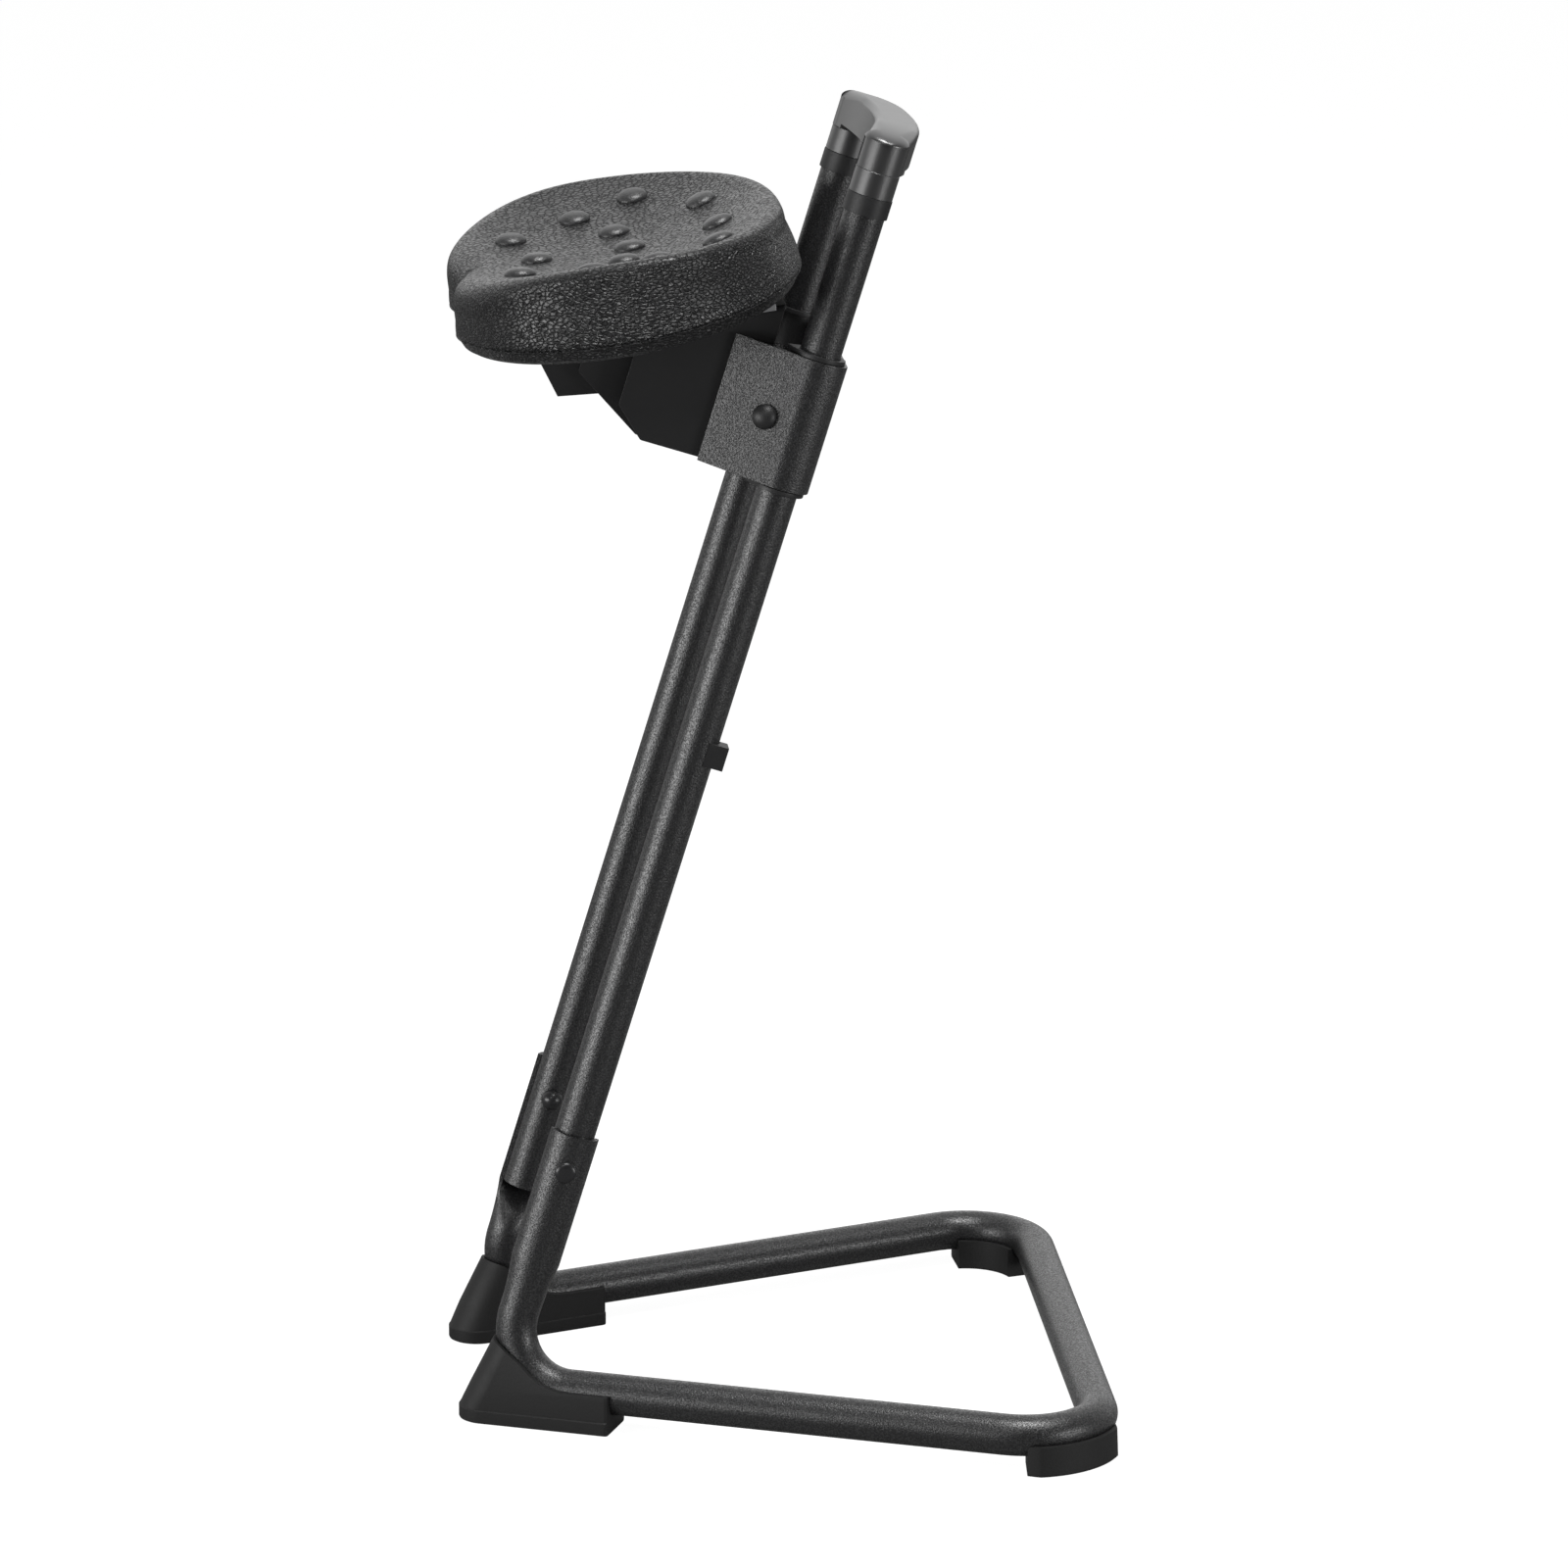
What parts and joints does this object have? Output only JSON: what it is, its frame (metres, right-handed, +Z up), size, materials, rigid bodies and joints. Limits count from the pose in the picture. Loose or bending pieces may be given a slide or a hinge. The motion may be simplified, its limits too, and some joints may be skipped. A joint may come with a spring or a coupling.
{
  "type": "work stool",
  "caption": "Sit-stand work stool: a tilting saddle seat on a carriage that slides on two leaning tubes, over a trapezoid tube base.",
  "frame": {"origin": "on the floor, under the middle of the whole stool's outline", "axes": "+Z up; +X to the sitter's left; the sitter faces -Y and the base reaches to +Y"},
  "size_m": [0.4952, 0.4426, 0.892],
  "materials": {
    "powder_coat": "black powder coat with a fine orange-peel texture",
    "black_sheet": "smooth satin black coated sheet",
    "foot_rubber": "matt black moulded rubber",
    "black_bolt": "black zinc with a soft sheen",
    "matte_plastic": "matt black moulded plastic",
    "gloss_plastic": "satin-gloss black moulded plastic",
    "zinc_steel": "zinc plated steel",
    "pad_skin": "black foam skin with a pebbled leather grain"
  },
  "bodies": {
    "frame": {"base_tube": "powder_coat", "upright_tube_left": "powder_coat", "upright_tube_right": "powder_coat", "front_foot_left": "foot_rubber", "front_foot_right": "foot_rubber", "rear_foot_left": "foot_rubber", "rear_foot_right": "foot_rubber", "frame_bolt_left": "black_bolt", "frame_bolt_right": "black_bolt", "frame_dome_nut_left": "black_bolt", "frame_dome_nut_right": "black_bolt", "stop_block_left": "matte_plastic", "stop_block_right": "matte_plastic", "handle_collar_left": "matte_plastic", "handle_collar_right": "matte_plastic", "top_handle": "gloss_plastic"},
    "carriage": {"carriage_sleeve": "powder_coat", "bush_top_left": "matte_plastic", "bush_top_right": "matte_plastic", "bush_bottom_left": "matte_plastic", "bush_bottom_right": "matte_plastic", "pivot_bolt": "zinc_steel", "pivot_cap_left": "matte_plastic", "pivot_cap_right": "matte_plastic", "pivot_spacer_left": "zinc_steel", "pivot_spacer_right": "zinc_steel"},
    "seat": {"bracket_outer": "black_sheet", "bracket_inner": "black_sheet", "seat_pan": "black_sheet", "pivot_spacer_centre": "zinc_steel", "brake_shoe_left": "matte_plastic", "brake_shoe_right": "matte_plastic", "seat_base_plate": "zinc_steel", "seat_screw_1": "zinc_steel", "seat_screw_2": "zinc_steel", "seat_screw_3": "zinc_steel", "seat_screw_4": "zinc_steel", "seat_pad": "pad_skin"}
  },
  "joints": [
    {"name": "carriage_slide", "type": "slide", "parent": "frame", "child": "carriage", "axis": [0, 0.2977, 0.9547], "range_m": [-0.1755, 0.0975]},
    {"name": "seat_tilt", "type": "hinge", "parent": "carriage", "child": "seat", "pos_m": [0, -0.0111, 0.69641], "axis": [-1, 0, 0], "range_deg": [0, 5]}
  ]
}
